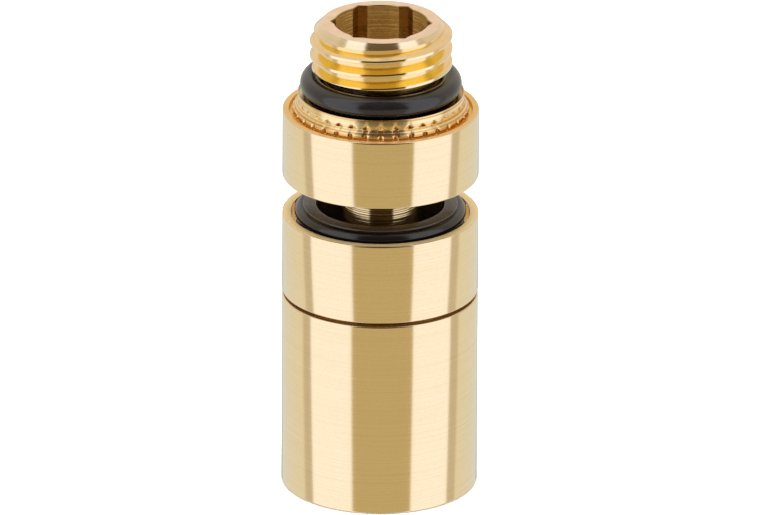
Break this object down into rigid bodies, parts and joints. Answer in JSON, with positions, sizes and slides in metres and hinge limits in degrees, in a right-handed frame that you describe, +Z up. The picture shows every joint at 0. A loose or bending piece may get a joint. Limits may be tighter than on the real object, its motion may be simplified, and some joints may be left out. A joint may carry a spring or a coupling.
{
  "type": "automatic air vent",
  "caption": "Brass automatic air vent: threaded nipple with hex socket and O-ring, collar, open air gap with black seal ring, and a turning cap over a pack of swelling discs.",
  "frame": {"origin": "centre of the flat end of the cap, which the vent stands on", "axes": "+Z up the common axis, from the cap's flat end to the threaded nipple; +X and +Y are free, and the hex socket's corners lie 2.5 degrees clockwise of X"},
  "size_m": [0.018, 0.018, 0.0449],
  "materials": {
    "turned_brass": "finely turned, satin bright",
    "golden_brass": "machined, bright in the thread, matte on the top face",
    "black_rubber": "smooth, slightly glossy",
    "black_plastic": "moulded, satin",
    "spring_steel": "drawn and rolled, satin",
    "pale_plastic": "moulded, satin",
    "cellulose": "pressed fibre, matte"
  },
  "bodies": {
    "connector": {"nipple": "golden_brass", "port_o_ring": "black_rubber", "collar": "turned_brass", "stem": "turned_brass", "stem_o_ring": "black_rubber", "stop_ring": "spring_steel", "check_spring": "spring_steel"},
    "check_valve": {"check_poppet": "pale_plastic", "check_seal": "black_rubber"},
    "seal_ring": {"seal_carrier": "black_plastic", "face_o_ring": "black_rubber"},
    "knob": {"retainer_sleeve": "turned_brass", "cap_body": "turned_brass", "cap_o_ring": "black_rubber", "guide_bush": "turned_brass", "disc_cage": "pale_plastic", "base_washer": "spring_steel", "plate_spring": "spring_steel", "swelling_disc_1": "cellulose", "swelling_disc_2": "cellulose", "swelling_disc_3": "cellulose", "swelling_disc_4": "cellulose", "swelling_disc_5": "cellulose", "swelling_disc_6": "cellulose", "swelling_disc_7": "cellulose", "swelling_disc_8": "cellulose"},
    "pressure_plate": {"pressure_plate": "spring_steel"}
  },
  "joints": [
    {"name": "ring_lift", "type": "slide", "parent": "connector", "child": "seal_ring", "axis": [0, 0, 1], "range_m": [0, 0.003]},
    {"name": "knob_turn", "type": "hinge", "parent": "seal_ring", "child": "knob", "pos_m": [0, 0, 0.02], "axis": [0, 0, 1], "range_deg": [0, 360]},
    {"name": "disc_swell", "type": "slide", "parent": "knob", "child": "pressure_plate", "axis": [0, 0, 1], "range_m": [0, 0.0008], "stiffness_N_per_m": 200, "springref_m": -0.001, "deforming": ["swelling_disc_1", "swelling_disc_2", "swelling_disc_3", "swelling_disc_4", "swelling_disc_5", "swelling_disc_6", "swelling_disc_7", "swelling_disc_8", "plate_spring"]},
    {"name": "check_lift", "type": "slide", "parent": "connector", "child": "check_valve", "axis": [0, 0, -1], "range_m": [0, 0.0012], "stiffness_N_per_m": 60, "springref_m": -0.002, "deforming": ["check_spring"]}
  ],
  "couplings": [
    {"joint": "knob_turn", "follows": "ring_lift", "rad_per_m": 2094.4}
  ]
}
